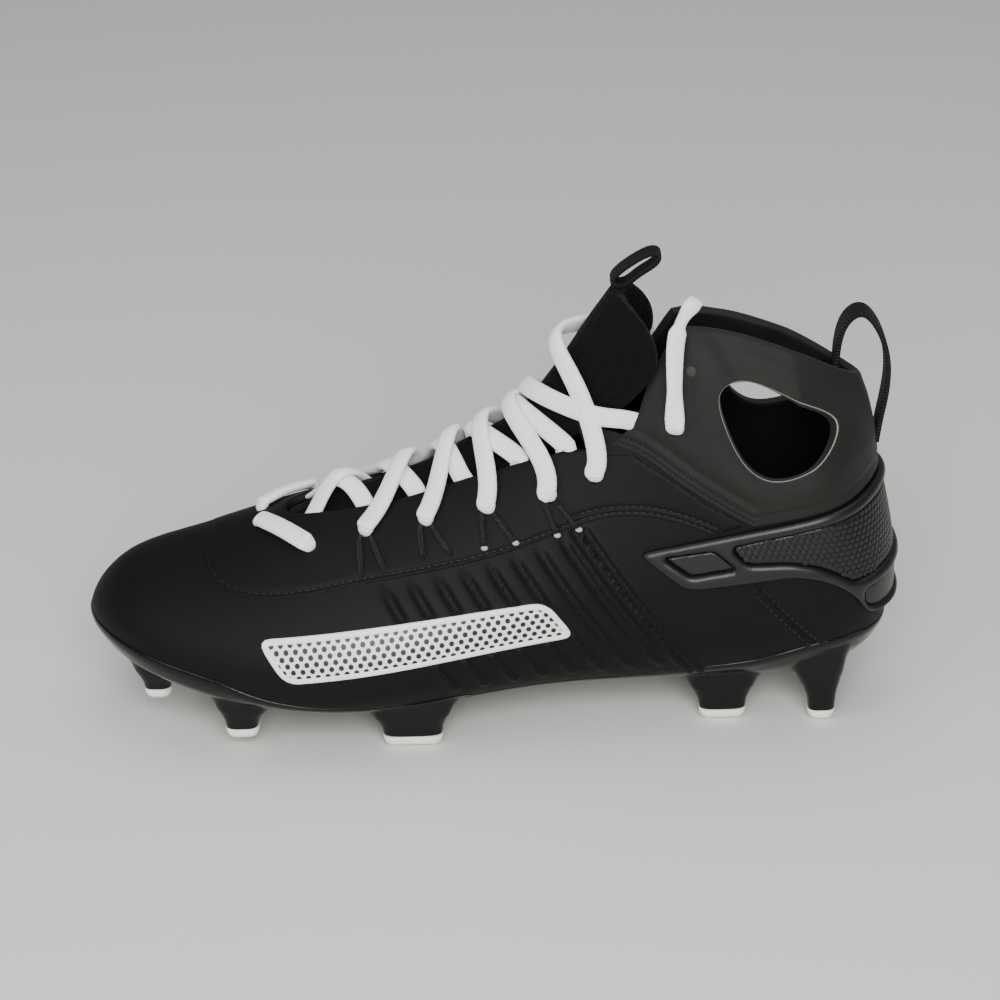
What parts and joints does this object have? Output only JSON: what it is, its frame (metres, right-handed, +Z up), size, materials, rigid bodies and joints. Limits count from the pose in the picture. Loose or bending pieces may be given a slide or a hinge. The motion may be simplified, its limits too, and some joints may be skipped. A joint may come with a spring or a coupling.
{
  "type": "lacrosse cleat",
  "caption": "Left mid-height lacrosse cleat: studded moulded plate, hollow laced upper with a windowed ankle cuff, moulded heel counter, eyestay, tongue and webbing loops.",
  "frame": {"origin": "middle of the bottom of the shoe's box, on the floor that the studs stand on", "axes": "the toe points to -X and the heel to +X, the outer (lateral) side faces -Y, +Z is up"},
  "size_m": [0.2926, 0.0968, 0.1752],
  "materials": {
    "black_synthetic": "matte fine grain",
    "black_cuff": "soft matte",
    "black_plastic": "satin moulded",
    "black_knit": "knit",
    "black_webbing": "woven tape",
    "grey_foam": "cloth over foam",
    "white_plastic": "satin moulded",
    "white_lace": "woven lace"
  },
  "bodies": {
    "root": {"ankle_cuff": "black_cuff", "eyestay": "black_synthetic", "heel_counter": "black_plastic", "insole": "grey_foam", "lace_bar_lateral": "white_lace", "lace_bar_medial": "white_lace", "lace_crossing_1": "white_lace", "lace_crossing_2": "white_lace", "lace_crossing_3": "white_lace", "lace_crossing_4": "white_lace", "lace_crossing_5": "white_lace", "lace_crossing_6": "white_lace", "lace_end_lateral": "white_lace", "pull_loop": "black_webbing", "sole_plate": "black_plastic", "stud_tip_ball_blade_lateral": "white_plastic", "stud_tip_ball_blade_medial": "white_plastic", "stud_tip_front_lateral": "white_plastic", "stud_tip_front_medial": "white_plastic", "stud_tip_heel_back_lateral": "white_plastic", "stud_tip_heel_back_medial": "white_plastic", "stud_tip_heel_blade_lateral": "white_plastic", "stud_tip_heel_blade_medial": "white_plastic", "stud_tip_middle_medial": "white_plastic", "stud_tip_toe_lateral": "white_plastic", "stud_tip_toe_medial": "white_plastic", "tongue": "black_knit", "tongue_loop": "black_webbing", "upper": "black_synthetic"}
  },
  "joints": []
}
